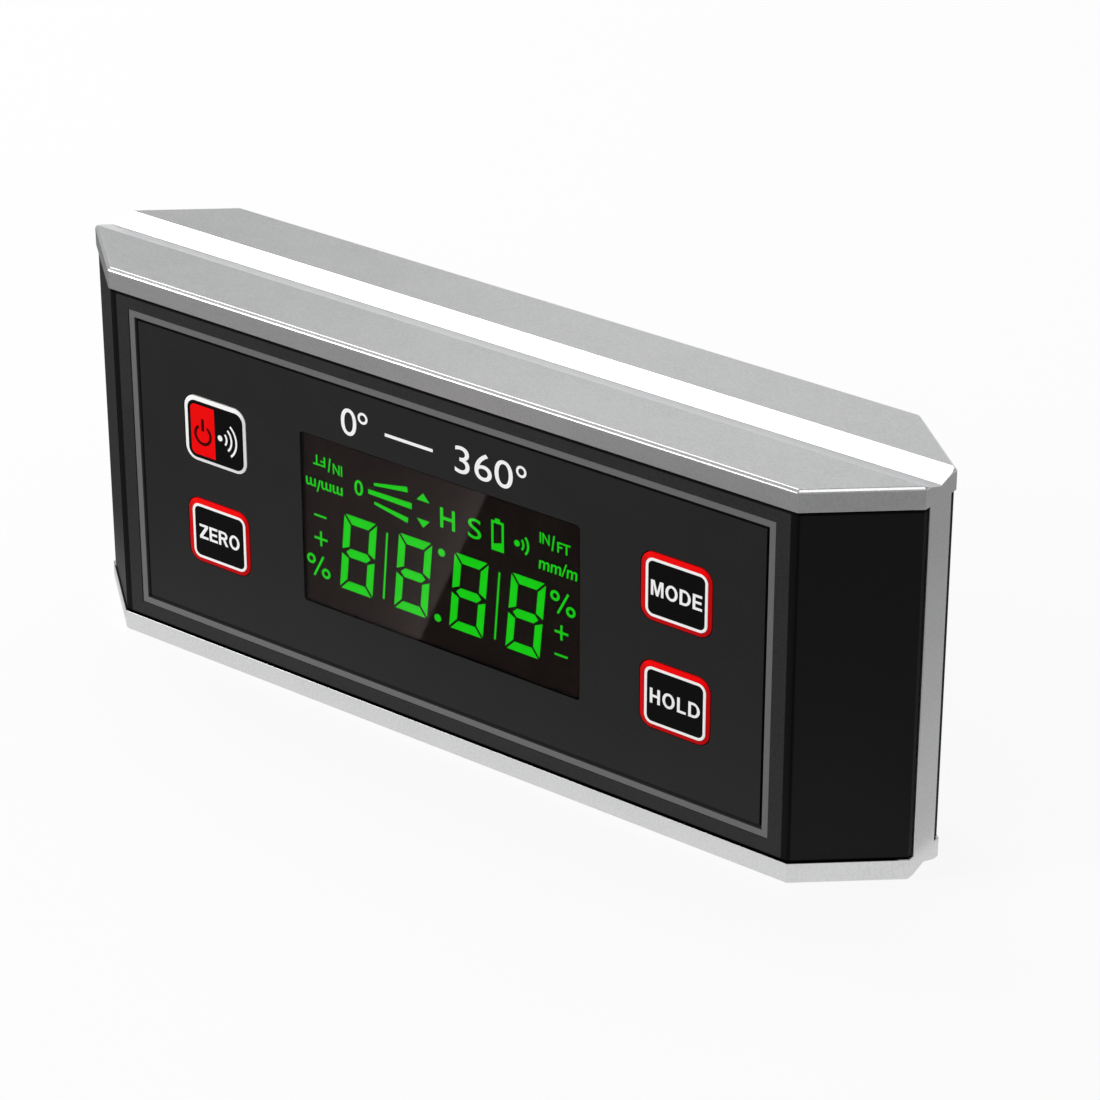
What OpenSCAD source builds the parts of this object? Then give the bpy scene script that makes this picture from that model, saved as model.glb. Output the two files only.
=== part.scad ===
// Digital angle gauge: an aluminium frame with V-grooved rails around a two-part plastic case.
// Millimetres. X runs along the rails, the display faces -Y, Z is up, origin at the middle of the base.

/* [Frame] */
// Length of the rails along X
length = 150; // [144:0.5:180]
// Height over both rails along Z
height = 61; // [58:0.5:72]
// Depth over the rails along Y
depth = 30; // [29:0.5:36]
// Length that each corner cut takes from a rail along X
corner_cut = 13; // [10:0.5:15]
// Width of the V-groove and of the flat at each rail end
groove_w = 7.6; // [7:0.2:9]
// Depth of the V-groove
groove_d = 1.2; // [0.8:0.1:1.4]
// Thickness of each rail
rail_t = 3.4; // [3.1:0.1:4.2]
// Thickness of each end post along X
post_t = 3.4; // [2.6:0.1:4.2]
// Width of each end post along Y
post_w = 5.2; // [4:0.2:6]
// Bevel on the outer edges of the rails
edge_break = 0.4; // [0.2:0.05:0.6]

/* [Magnets] */
// Diameter of a base magnet
magnet_d = 6; // [4:0.5:7]
// Thickness of a base magnet
magnet_t = 1.5; // [1:0.1:1.7]
// Distance of the inner magnets from the middle
magnet_inner_x = 20; // [12:1:30]
// Distance of the outer magnets from the middle
magnet_outer_x = 56; // [40:1:60]
// Radial room around a magnet in its bore
magnet_gap = 0.04; // [0.02:0.01:0.1]

/* [Covers] */
// How far the covers stand back from the rail edges
cover_setback = 0.3; // [0.2:0.05:0.5]
// Gap between the covers and the frame
cover_gap = 0.15; // [0.1:0.05:0.25]
// Thickness of the side walls
wall = 2; // [1.6:0.1:2.4]
// Thickness of the front wall
face_t = 2.7; // [2.6:0.05:2.9]
// Thickness of the rear wall
rear_t = 2.6; // [2.5:0.1:3.2]
// Radius of the upright edges beside the front and rear faces
upright_r = 1.2; // [0.6:0.1:2]
// Height of the lip that keys the covers together
lip_h = 1; // [0.6:0.1:1.6]
// Thickness of that lip
lip_t = 0.9; // [0.7:0.1:1]
// Gap around the lip
lip_gap = 0.1; // [0.05:0.05:0.2]
// Distance of a cover screw from the end of the front face
boss_inset = 6; // [5.5:0.5:8]
// Distance of a cover screw from the top or bottom of the cavity
boss_drop = 4.5; // [4:0.5:6]
// Diameter of a cover screw boss
boss_d = 6.6; // [6.4:0.1:7.2]

/* [Faceplate] */
// Distance from the recess to the end of the front face
plate_margin_x = 3.4; // [2.6:0.1:4]
// Distance from the recess to the top or bottom of the front face
plate_margin_z = 2.35; // [1.8:0.05:3]
// Width of the trim around the recess
trim_w = 1.3; // [0.9:0.1:1.6]
// How far the trim lies below the front face
trim_drop = 0.1; // [0.05:0.05:0.2]
// Width of the slope at the inner edge of the trim
trim_slope = 0.25; // [0.15:0.05:0.5]
// Height of the trim at its inner edge
trim_edge = 0.2; // [0.1:0.05:0.3]
// Gap between the trim and the sides of the recess
trim_gap = 0.05; // [0.03:0.01:0.1]
// Gap between the faceplate and the trim
plate_gap = 0.3; // [0.15:0.05:0.4]
// Thickness of the faceplate
plate_t = 0.6; // [0.5:0.05:0.7]
// How far the faceplate lies below the front face
plate_setback = 0.3; // [0.2:0.05:0.4]

/* [Display] */
// Width of the display window
window_w = 51.2; // [46:0.2:52]
// Height of the display window
window_h = 27.8; // [24:0.2:29]
// Radius of the window corners
window_r = 0.5; // [0.3:0.1:1.5]
// Thickness of the window lens
lens_t = 0.5; // [0.4:0.05:0.55]
// Gap around the window lens
lens_gap = 0.05; // [0.03:0.01:0.1]
// Border of display glass hidden behind the faceplate
glass_border = 1.9; // [1.4:0.1:2.4]
// Thickness of the display glass
glass_t = 2.4; // [2.3:0.05:2.6]
// Gap around the display glass
glass_gap = 0.2; // [0.1:0.05:0.3]
// Thickness of the backlight plate
light_t = 2.2; // [2.1:0.05:2.5]
// Width of a rubber contact strip
strip_w = 1.8; // [1.4:0.1:2]

/* [Keys] */
// Width of a key
key_w = 12; // [10:0.2:13]
// Height of a key
key_h = 10.6; // [9:0.2:12]
// Corner radius of a key
key_r = 2.1; // [1.6:0.1:2.6]
// How far a key stands above the faceplate
key_rise = 0.2; // [0.15:0.05:0.3]
// Width of the sloped rim of a key
key_slope = 0.75; // [0.5:0.05:1]
// Gap around a key
key_gap = 0.15; // [0.1:0.05:0.25]
// Distance of the keys' centres from the ends of the faceplate
key_in = 14.7; // [14:0.1:16]
// Distance of the keys from the middle height
key_z = 8.5; // [7.6:0.1:9]
// Travel of a key
key_travel = 0.4; // [0.3:0.05:0.45]
// Width of the flange that holds a key in
flange_w = 1.1; // [0.8:0.1:1.2]
// Thickness of that flange
flange_t = 0.7; // [0.6:0.05:0.75]
// Play of a key behind the front wall
key_play = 0.05; // [0.03:0.01:0.08]

/* [Board] */
// Thickness of the main board
board_t = 1.6; // [1.2:0.1:2]
// Gap between the main board and the walls and bosses
board_gap = 0.8; // [0.5:0.1:1.2]
// Distance of a board screw from the board edges
board_screw_in = 3.5; // [3:0.1:4.5]
// Diameter of a board screw post
board_post_d = 5; // [4.4:0.1:5.5]
// Width of a push switch
switch_w = 6; // [5.4:0.1:6.6]
// Height of a push switch body
switch_t = 1.5; // [1.4:0.02:1.55]
// Diameter of a switch plunger
plunger_d = 3.2; // [2.4:0.1:3.8]
// Radial play of a switch plunger
plunger_gap = 0.06; // [0.03:0.01:0.1]
// Diameter of the buzzer
buzzer_d = 12; // [9:0.5:14]
// Height of the buzzer
buzzer_t = 4.5; // [3:0.5:5]
// Diameter of the buzzer's sound hole
buzzer_hole_d = 2; // [1.4:0.1:3]
// Distance of the buzzer from the end of the board
buzzer_in = 16; // [12:0.5:20]
// Width of the controller chip
chip_w = 10; // [7:0.5:12]
// Height of the controller chip
chip_t = 1.4; // [1:0.1:2]
// Distance of the controller chip from the middle
chip_x = 17; // [15:0.5:20]
// Width of the tilt sensor
sensor_w = 5; // [3:0.5:6]
// Height of the tilt sensor
sensor_t = 1.2; // [0.8:0.1:1.6]

/* [Screws] */
// Shank diameter of a cover screw
screw_d = 2.6; // [2.2:0.1:2.8]
// Head diameter of a cover screw
screw_head_d = 4.6; // [4.2:0.1:4.8]
// Head height of a cover screw
screw_head_t = 1.7; // [1.4:0.1:2]
// Shank length of a cover screw
screw_l = 16; // [14:0.5:18]
// How deep a cover screw head lies below the rear face
screw_sink = 3; // [2.8:0.1:3.6]
// Shank diameter of a board screw
board_screw_d = 2; // [1.6:0.1:2.2]
// Head diameter of a board screw
board_head_d = 3.8; // [3.4:0.1:4.2]
// Head height of a board screw
board_head_t = 1.2; // [1:0.1:1.4]
// Radial room around a screw shank
screw_gap = 0.03; // [0.02:0.01:0.06]

/* [Batteries] */
// Diameter of a cell
cell_d = 10.5; // [10:0.1:10.7]
// Length of a cell over its nub
cell_l = 44.5; // [43:0.1:45]
// Gap around a cell
cell_gap = 0.3; // [0.2:0.05:0.4]
// Diameter of a cell's nub
nub_d = 3.8; // [3:0.1:4.4]
// Height of a cell's nub
nub_t = 1; // [0.8:0.1:1.4]
// Bevel on the ends of a cell
cell_bevel = 0.5; // [0.3:0.05:0.7]
// Thickness of the contact metal
contact_t = 0.4; // [0.3:0.05:0.5]
// Width of a contact plate
contact_w = 7; // [6:0.1:7.4]
// Height of the dimple that meets a cell nub
dimple_t = 0.5; // [0.4:0.05:0.8]
// Length of a coil spring between its plate and the cell
spring_l = 4.5; // [4:0.1:5]
// Wire diameter of a coil spring
wire_d = 0.7; // [0.5:0.05:0.8]
// Radius of a coil spring at its plate
spring_r = 3.2; // [2.9:0.05:3.4]
// Radius of a coil spring at the cell
spring_tip_r = 2.3; // [1.8:0.05:2.8]
// Turns of a coil spring
spring_turns = 4; // [3:1:5]
// Width of the tail from a contact to the board
tail_w = 2; // [1.4:0.1:3]
// Wall around the battery bay
bay_wall = 1.4; // [1.2:0.1:1.8]
// Distance from the bay to the end of the rear face
bay_end = 3.2; // [2.8:0.1:4]

/* [Battery door] */
// Thickness of the door
door_t = 1.6; // [1.4:0.05:1.7]
// Gap around the door
door_gap = 0.12; // [0.08:0.02:0.2]
// How far the door reaches past the bay
door_lap = 2.3; // [2:0.1:3]
// Width of the tongues along the door
tongue_w = 1.1; // [0.8:0.1:1.3]
// Thickness of those tongues
tongue_t = 0.8; // [0.6:0.05:0.9]
// Number of grip ribs on the door
rib_count = 5; // [3:1:7]
// Spacing of the grip ribs
rib_pitch = 2; // [1.6:0.1:2.4]
// Height of a grip rib
rib_h = 0.22; // [0.15:0.01:0.25]
// Distance of the grip ribs from the end of the rear face
rib_in = 4; // [3:0.5:6]
// Length of the arrow beside the grip ribs
arrow_l = 4; // [3:0.5:6]
// Width of that arrow
arrow_w = 6.4; // [4:0.4:8]

/* [Hidden] */
$fn = 64;
over = 1;
mid_z = height / 2;

// The plan of the frame: an eight-sided outline, and the same outline set in by an even distance.
plan_run = [corner_cut, (depth - groove_w) / 2];
plan_n = [plan_run.y, plan_run.x] / norm(plan_run);
plan_c = plan_n.x * (length / 2 - corner_cut) + plan_n.y * depth / 2;
function cut_x(inset, y) = (plan_c - inset - plan_n.y * y) / plan_n.x;
function cut_y(inset, x) = (plan_c - inset - plan_n.x * x) / plan_n.y;
function half_plan(inset) =
  let (x = length / 2 - inset, y = depth / 2 - inset)
  [[x, cut_y(inset, x)], [cut_x(inset, y), y], [-cut_x(inset, y), y], [-x, cut_y(inset, x)]];
function full_plan(inset) =
  let (h = half_plan(inset))
  concat(h, [for (i = [3:-1:0]) [h[i].x, -h[i].y]]);

// Depth positions behind the front face, then ahead of the rear face.
face_y = -depth / 2 + cover_setback;
trim_y = face_y + trim_drop;
plate_y = face_y + plate_setback;
floor_y = plate_y + plate_t;
lens_y = floor_y - lens_t - lens_gap;
inner_y = face_y + face_t;
glass_back_y = floor_y + glass_t;
board_y = glass_back_y + light_t;
board_back_y = board_y + board_t;
flange_y = inner_y + key_play;
flange_back_y = flange_y + flange_t;
switch_y = board_y - switch_t;
rear_y = -face_y;
rear_inner_y = rear_y - rear_t;
door_y = rear_y - door_t;
cell_y = door_y - door_gap - cell_gap - cell_d / 2;
screw_seat_y = rear_y - screw_sink;

// Sizes across the front that follow from the frame and the covers.
face_x = cut_x(cover_setback, -face_y);
end_x = length / 2 - cover_setback;
post_x = length / 2 - post_t - cover_gap;
post_y = post_w / 2 + cover_gap;
cover_hz = mid_z - rail_t - cover_gap;
cavity_x = post_x - wall;
cavity_hz = cover_hz - wall;
recess_x = face_x - plate_margin_x;
recess_z = cover_hz - plate_margin_z;
plate_x = recess_x - trim_w - plate_gap;
plate_z = recess_z - trim_w - plate_gap;
key_x = plate_x - key_in;
glass_w = window_w + 2 * glass_border;
glass_h = window_h + 2 * glass_border;
strip_z = glass_h / 2 - strip_w / 2 - glass_gap;
light_h = 2 * strip_z - strip_w - 2 * glass_gap;
boss_x = face_x - boss_inset;
boss_z = cavity_hz - boss_drop;
bosses = [[-boss_x, -boss_z], [boss_x, -boss_z], [-boss_x, boss_z], [boss_x, boss_z]];
board_x = boss_x - boss_d / 2 - board_gap;
board_hz = cavity_hz - board_gap;
board_post_x = board_x - board_screw_in;
board_post_z = board_hz - board_screw_in;
board_posts = [[-board_post_x, -board_post_z], [board_post_x, -board_post_z],
  [-board_post_x, board_post_z], [board_post_x, board_post_z]];
power_at = [-key_x, key_z];
zero_at = [-key_x, -key_z];
mode_at = [key_x, key_z];
hold_at = [key_x, -key_z];
keys = [power_at, zero_at, mode_at, hold_at];

// The battery bay and its door, measured back from the end of the rear face.
bay_l = contact_t + dimple_t + cell_l + spring_l + contact_t;
bay_x1 = face_x - bay_end;
bay_x0 = bay_x1 - bay_l;
cell_z = cell_d / 2 + cell_gap;
cell_r = cell_d / 2 + cell_gap;
bay_hz = cell_z + cell_r;
bay_floor_y = cell_y - cell_r - bay_wall;
door_x0 = bay_x0 - door_lap;
door_hz = bay_hz + door_lap;

// A flat shape in X and Z, given depth from y0 to y1.
module slab(y0, y1) {
  translate([0, y1, 0])
    rotate([90, 0, 0])
      linear_extrude(y1 - y0)
        children();
}

// A flat shape in Y and Z, drawn along X from x0 to x1.
module beam(x0, x1) {
  translate([x0, 0, 0])
    rotate([90, 0, 90])
      linear_extrude(x1 - x0)
        children();
}

// A round bar along Y at a place given from the middle of the front.
module rod(p, d, y0, y1) {
  translate([p.x, y1, mid_z + p.y])
    rotate([90, 0, 0])
      cylinder(d = d, h = y1 - y0);
}

// A box given by its limits.
module block(x0, x1, y0, y1, z0, z1) {
  translate([x0, y0, z0])
    cube([x1 - x0, y1 - y0, z1 - z0]);
}

module centred(hx, hz) {
  translate([-hx, mid_z - hz])
    square([2 * hx, 2 * hz]);
}

module rounded(w, h, r) {
  square([w - 2 * r, h], center = true);
  square([w, h - 2 * r], center = true);
  for (x = [-1, 1], z = [-1, 1])
    translate([x * (w / 2 - r), z * (h / 2 - r)])
      circle(r);
}

// A polygon with the corner numbers in the list rounded to one radius.
module eased(points, corners, r) {
  n = len(points);
  difference() {
    polygon(points);
    for (i = corners) {
      p = points[i];
      u = (points[(i + n - 1) % n] - p) / norm(points[(i + n - 1) % n] - p);
      v = (points[(i + 1) % n] - p) / norm(points[(i + 1) % n] - p);
      half = acos(u * v) / 2;
      c = p + (u + v) / norm(u + v) * r / sin(half);
      difference() {
        polygon([p, p + u * r / tan(half), c, p + v * r / tan(half)]);
        translate(c)
          circle(r);
      }
    }
  }
}

// The bottom rail: groove and bevelled edges on its underside.
module rail() {
  plan = full_plan(0);
  difference() {
    linear_extrude(rail_t)
      polygon(plan);
    beam(-length / 2 - over, length / 2 + over)
      polygon([[-groove_w / 2, 0], [0, groove_d], [groove_w / 2, 0],
        [groove_w / 2, -over], [-groove_w / 2, -over]]);
    for (i = [0:7]) {
      p = plan[i];
      q = plan[(i + 1) % 8];
      translate([p.x, p.y, 0])
        rotate(atan2(q.y - p.y, q.x - p.x))
          beam(-over, norm(q - p) + over)
            polygon([[-over, -over], [edge_break + over, -over], [-over, edge_break + over]]);
    }
  }
}

module frame() {
  color([0.72, 0.73, 0.74])
    difference() {
      union() {
        rail();
        translate([0, 0, height])
          mirror([0, 0, 1])
            rail();
        for (s = [-1, 1])
          translate([s * (length - post_t) / 2 - post_t / 2, -post_w / 2, rail_t - over])
            cube([post_t, post_w, height - 2 * rail_t + 2 * over]);
      }
      for (x = magnet_places())
        translate([x, 0, -over])
          cylinder(d = magnet_d + 2 * magnet_gap, h = over + groove_d + magnet_t);
    }
}

function magnet_places() = [-magnet_outer_x, -magnet_inner_x, magnet_inner_x, magnet_outer_x];

module magnets() {
  color([0.78, 0.78, 0.8])
    for (x = magnet_places())
      translate([x, 0, groove_d])
        cylinder(d = magnet_d, h = magnet_t);
}

// Outside of a cover in plan, on the front half: the ears at the ends reach around the posts.
module cover_body() {
  h = half_plan(cover_setback);
  ears = [[post_x, 0], [post_x, -post_y], [end_x, -post_y]];
  face = [for (p = h) [p.x, -p.y]];
  rest = [[-end_x, -post_y], [-post_x, -post_y], [-post_x, 0]];
  translate([0, 0, mid_z - cover_hz])
    linear_extrude(2 * cover_hz)
      eased(concat(ears, face, rest), [4, 5], upright_r);
}

// Hollow of a cover on the front half, behind a front wall of the given thickness.
module cover_cavity(front_t) {
  y = -face_y - front_t;
  in = cover_setback + wall;
  side = [[cavity_x, over], [cavity_x, -cut_y(in, cavity_x)], [cut_x(in, y), -y]];
  other = [for (i = [2:-1:0]) [-side[i].x, side[i].y]];
  translate([0, 0, mid_z - cavity_hz])
    linear_extrude(2 * cavity_hz)
      polygon(concat(side, other));
}

// The ring where the covers key into each other.
module lip_ring(y1, spread) {
  slab(-over, y1)
    difference() {
      centred(cavity_x + spread, cavity_hz + spread);
      centred(cavity_x, cavity_hz);
    }
}

// What the trim leaves open: a hole with straight sides at the floor and four sloped sides above.
module trim_opening() {
  slope_y = floor_y - trim_edge;
  top_y = trim_y - over;
  run = (slope_y - top_y) / (slope_y - trim_y) * trim_slope;
  x = recess_x - trim_w;
  z = recess_z - trim_w;
  intersection() {
    translate([0, 0, mid_z - recess_z - over])
      linear_extrude(2 * recess_z + 2 * over)
        polygon([[-x, slope_y], [x, slope_y], [x + run, top_y], [-x - run, top_y]]);
    beam(-recess_x - over, recess_x + over)
      polygon([[slope_y, mid_z - z], [slope_y, mid_z + z],
        [top_y, mid_z + z + run], [top_y, mid_z - z - run]]);
  }
  slab(slope_y - trim_edge, floor_y + over)
    centred(x, z);
}

module face_trim() {
  color([0.4, 0.4, 0.4])
    difference() {
      slab(trim_y, floor_y)
        centred(recess_x - trim_gap, recess_z - trim_gap);
      trim_opening();
    }
}

module key_openings() {
  for (k = keys)
    translate([k.x, mid_z + k.y])
      rounded(key_w + 2 * key_gap, key_h + 2 * key_gap, key_r + key_gap);
}

module front_cover() {
  color([0.13, 0.13, 0.13])
    difference() {
      union() {
        difference() {
          cover_body();
          cover_cavity(face_t);
        }
        lip_ring(lip_h, lip_t);
        for (b = bosses)
          rod(b, boss_d, inner_y - over, 0);
        for (b = board_posts)
          rod(b, board_post_d, inner_y - over, board_y);
      }
      slab(face_y - over, floor_y)
        centred(recess_x, recess_z);
      slab(floor_y - over, inner_y + over)
        key_openings();
      slab(floor_y - over, inner_y + over)
        centred(glass_w / 2 + glass_gap, glass_h / 2 + glass_gap);
      for (b = bosses)
        rod(b, screw_d + 2 * screw_gap, screw_seat_y - screw_l - over, over);
      for (b = board_posts)
        rod(b, board_screw_d + 2 * screw_gap, inner_y, board_y + over);
    }
}

module rear_cover() {
  color([0.12, 0.12, 0.12])
    difference() {
      union() {
        difference() {
          mirror([0, 1, 0])
            union() {
              difference() {
                cover_body();
                cover_cavity(rear_t);
              }
            }
          lip_ring(lip_h + lip_gap, lip_t + lip_gap);
        }
        block(bay_x0 - bay_wall, bay_x1 + bay_wall, bay_floor_y, rear_y - over, mid_z - bay_hz - bay_wall,
          mid_z + bay_hz + bay_wall);
        for (b = bosses)
          rod(b, boss_d, 0, rear_y - over);
      }
      bay_room();
      door_room();
      for (b = bosses) {
        rod(b, screw_head_d + 12 * screw_gap, screw_seat_y, rear_y + over);
        rod(b, screw_d + 6 * screw_gap, -over, rear_y);
      }
    }
}

// The room for two cells: round troughs below their axes, straight sides above, slots for the contact tails.
module bay_room() {
  block(bay_x0, bay_x1, cell_y, rear_y + over, mid_z - bay_hz, mid_z + bay_hz);
  for (s = [-1, 1]) {
    translate([bay_x0, cell_y, mid_z + s * cell_z])
      rotate([0, 90, 0])
        cylinder(r = cell_r, h = bay_l);
    block(bay_x0, bay_x0 + contact_t + cell_gap, bay_floor_y - over, cell_y,
      mid_z + s * cell_z - tail_w / 2 - cell_gap, mid_z + s * cell_z + tail_w / 2 + cell_gap);
  }
}

// The door seat, open where the rear face ends, with an undercut along both sides.
module door_room() {
  block(door_x0 - door_gap, end_x, door_y - door_gap, rear_y + over, mid_z - door_hz - door_gap,
    mid_z + door_hz + door_gap);
  block(door_x0 - door_gap, end_x, door_y - door_gap, door_y + tongue_t + door_gap,
    mid_z - door_hz - tongue_w - door_gap, mid_z + door_hz + tongue_w + door_gap);
}

module battery_door() {
  rib_x = face_x - rib_in;
  color([0.12, 0.12, 0.12])
    union() {
      difference() {
        intersection() {
          union() {
            block(door_x0, end_x, door_y, rear_y + over, mid_z - door_hz, mid_z + door_hz);
            block(door_x0, end_x, door_y, door_y + tongue_t, mid_z - door_hz - tongue_w,
              mid_z + door_hz + tongue_w);
          }
          mirror([0, 1, 0])
            cover_body();
        }
        slab(rear_y - rib_h, rear_y + over)
          translate([rib_x - (rib_count + 1) * rib_pitch, mid_z])
            polygon([[0, 0], [-arrow_l, arrow_w / 2], [-arrow_l, -arrow_w / 2]]);
      }
      for (i = [0:rib_count - 1])
        block(rib_x - i * rib_pitch - rib_pitch / 2, rib_x - i * rib_pitch, door_y + tongue_t, rear_y + rib_h,
          mid_z - door_hz / 2, mid_z + door_hz / 2);
    }
}

module faceplate() {
  color([0.11, 0.11, 0.11])
    slab(plate_y, floor_y)
      difference() {
        centred(plate_x, plate_z);
        key_openings();
        translate([0, mid_z])
          rounded(window_w, window_h, window_r);
      }
}

module display_lens() {
  color([0.1, 0.09, 0.09])
    slab(lens_y, floor_y - lens_gap)
      translate([0, mid_z])
        rounded(window_w - 2 * lens_gap, window_h - 2 * lens_gap, window_r - lens_gap);
}

module display_glass() {
  color([0.07, 0.08, 0.07])
    slab(floor_y, glass_back_y)
      centred(glass_w / 2, glass_h / 2);
}

module backlight() {
  color([0.9, 0.9, 0.86])
    slab(glass_back_y, board_y)
      centred(window_w / 2, light_h / 2);
}

module contact_strip(s) {
  color([0.25, 0.25, 0.27])
    slab(glass_back_y, board_y)
      translate([-window_w / 2, mid_z + s * strip_z - strip_w / 2])
        square([window_w, strip_w]);
}

module strip_top() {
  contact_strip(1);
}

module strip_bottom() {
  contact_strip(-1);
}

module main_board() {
  color([0.05, 0.35, 0.2])
    difference() {
      slab(board_y, board_back_y)
        centred(board_x, board_hz);
      for (b = board_posts)
        rod(b, board_screw_d + 6 * screw_gap, board_y - over, board_back_y + over);
    }
}

module tilt_sensor() {
  color([0.15, 0.15, 0.16])
    slab(board_back_y, board_back_y + sensor_t)
      translate([0, mid_z])
        square(sensor_w, center = true);
}

module controller_chip() {
  color([0.1, 0.1, 0.11])
    slab(board_back_y, board_back_y + chip_t)
      translate([-chip_x, mid_z])
        square(chip_w, center = true);
}

module buzzer() {
  color([0.08, 0.08, 0.08])
    difference() {
      rod([buzzer_in - board_x, 0], buzzer_d, board_back_y, board_back_y + buzzer_t);
      rod([buzzer_in - board_x, 0], buzzer_hole_d, board_back_y + buzzer_t / 2,
        board_back_y + buzzer_t + over);
    }
}

// A key: sloped cap with conical corners, straight sides through the front wall, flange behind it.
module key_cap(p) {
  x = key_w / 2 - key_r;
  z = key_h / 2 - key_r;
  tip = key_r - key_slope;
  translate([p.x, plate_y, mid_z + p.y])
    union() {
      beam(-x, x)
        polygon([[0, -z - key_r], [-key_rise, -z - tip], [-key_rise, z + tip], [0, z + key_r]]);
      translate([0, 0, -z])
        linear_extrude(2 * z)
          polygon([[-x - key_r, 0], [-x - tip, -key_rise], [x + tip, -key_rise], [x + key_r, 0]]);
      for (i = [-1, 1], j = [-1, 1])
        translate([i * x, 0, j * z])
          rotate([90, 0, 0])
            cylinder(r1 = key_r, r2 = tip, h = key_rise);
    }
  slab(plate_y, flange_y)
    translate([p.x, mid_z + p.y])
      rounded(key_w, key_h, key_r);
  slab(flange_y, flange_back_y)
    translate([p.x, mid_z + p.y])
      rounded(key_w + 2 * flange_w, key_h + 2 * flange_w, key_r + flange_w);
}

module key_power() {
  color([0.9, 0.9, 0.88])
    key_cap(power_at);
}

module key_zero() {
  color([0.8, 0.06, 0.06])
    key_cap(zero_at);
}

module key_mode() {
  color([0.8, 0.06, 0.06])
    key_cap(mode_at);
}

module key_hold() {
  color([0.8, 0.06, 0.06])
    key_cap(hold_at);
}

// The part of a push switch that moves with its key.
module plunger(p) {
  color([0.2, 0.2, 0.2])
    rod(p, plunger_d, flange_back_y, switch_y + switch_t / 2 - key_travel / 2);
}

module plunger_power() {
  plunger(power_at);
}

module plunger_zero() {
  plunger(zero_at);
}

module plunger_mode() {
  plunger(mode_at);
}

module plunger_hold() {
  plunger(hold_at);
}

module switch_body(p) {
  color([0.55, 0.56, 0.58])
    difference() {
      slab(switch_y, board_y)
        translate([p.x, mid_z + p.y])
          square(switch_w, center = true);
      rod(p, plunger_d + 2 * plunger_gap, switch_y - over, switch_y + switch_t / 2 + key_travel);
    }
}

module switch_power() {
  switch_body(power_at);
}

module switch_zero() {
  switch_body(zero_at);
}

module switch_mode() {
  switch_body(mode_at);
}

module switch_hold() {
  switch_body(hold_at);
}

// A cell with its nub towards -X, its nub tip at the origin.
module cell() {
  rotate([0, 90, 0])
    rotate_extrude()
      polygon([[0, 0], [nub_d / 2, 0], [nub_d / 2, nub_t], [cell_d / 2 - cell_bevel, nub_t],
        [cell_d / 2, nub_t + cell_bevel], [cell_d / 2, cell_l - cell_bevel],
        [cell_d / 2 - cell_bevel, cell_l], [0, cell_l]]);
}

module cell_upper() {
  color([0.75, 0.5, 0.2])
    translate([bay_x0 + contact_t + dimple_t, cell_y, mid_z + cell_z])
      cell();
}

module cell_lower() {
  color([0.75, 0.5, 0.2])
    translate([bay_x1 - contact_t - dimple_t, cell_y, mid_z - cell_z])
      mirror([1, 0, 0])
        cell();
}

// A contact plate against the inner end of the bay, with a tail down to the main board.
module tail_contact(z) {
  block(bay_x0, bay_x0 + contact_t, cell_y - contact_w / 2, cell_y + contact_w / 2,
    z - contact_w / 2, z + contact_w / 2);
  block(bay_x0, bay_x0 + contact_t, board_back_y, cell_y, z - tail_w / 2, z + tail_w / 2);
}

module dimple(x, z) {
  translate([x, cell_y, z])
    rotate([0, 90, 0])
      cylinder(d = nub_d, h = dimple_t);
}

module contact_positive() {
  color([0.7, 0.7, 0.68])
    union() {
      tail_contact(mid_z + cell_z);
      dimple(bay_x0 + contact_t, mid_z + cell_z);
    }
}

module contact_negative() {
  color([0.7, 0.7, 0.68])
    tail_contact(mid_z - cell_z);
}

module contact_bridge() {
  x = bay_x1 - contact_t;
  color([0.7, 0.7, 0.68])
    union() {
      for (s = [-1, 1])
        block(x, bay_x1, cell_y - contact_w / 2, cell_y + contact_w / 2, mid_z + s * cell_z - contact_w / 2,
          mid_z + s * cell_z + contact_w / 2);
      block(x, bay_x1, cell_y + cell_gap, cell_y + contact_w / 2, mid_z - cell_z, mid_z + cell_z);
      dimple(x - dimple_t, mid_z - cell_z);
    }
}

// A conical coil spring of round wire: its wide end at x = 0, its narrow end against the cell.
module coil() {
  steps = 24 * spring_turns;
  sides = 6;
  first = wire_d / 2;
  last = spring_l - wire_d / 2;
  rings = [for (i = [0:steps])
    let (t = i / steps, a = 360 * spring_turns * t)
    let (r = spring_r + (spring_tip_r - spring_r) * t, x = first + (last - first) * t)
    [for (j = [0:sides - 1])
      let (b = 360 * j / sides, q = r + wire_d / 2 * cos(b))
      [x + wire_d / 2 * sin(b), q * cos(a), q * sin(a)]]];
  points = [for (ring = rings) each ring];
  skin = [for (i = [0:steps - 1], j = [0:sides - 1])
    let (k = (j + 1) % sides)
    [i * sides + j, (i + 1) * sides + j, (i + 1) * sides + k, i * sides + k]];
  caps = [[for (j = [0:sides - 1]) j], [for (j = [sides - 1:-1:0]) steps * sides + j]];
  polyhedron(points, concat(skin, caps), convexity = 10);
}

module spring_negative() {
  color([0.75, 0.75, 0.73])
    translate([bay_x0 + contact_t, cell_y, mid_z - cell_z])
      coil();
}

module spring_bridge() {
  color([0.75, 0.75, 0.73])
    translate([bay_x1 - contact_t, cell_y, mid_z + cell_z])
      mirror([1, 0, 0])
        coil();
}

// A pan head screw along Y with its head to the rear and a cross in the head.
module screw(p, d, l, head_d, head_t, seat_y) {
  slot = head_d / 6;
  difference() {
    union() {
      rod(p, d, seat_y - l, seat_y + head_t / 2);
      rod(p, head_d, seat_y, seat_y + head_t);
    }
    for (a = [0, 90])
      translate([p.x, seat_y + head_t, mid_z + p.y])
        rotate([0, a, 0])
          cube([slot, head_t, head_d * 0.6], center = true);
  }
}

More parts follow.
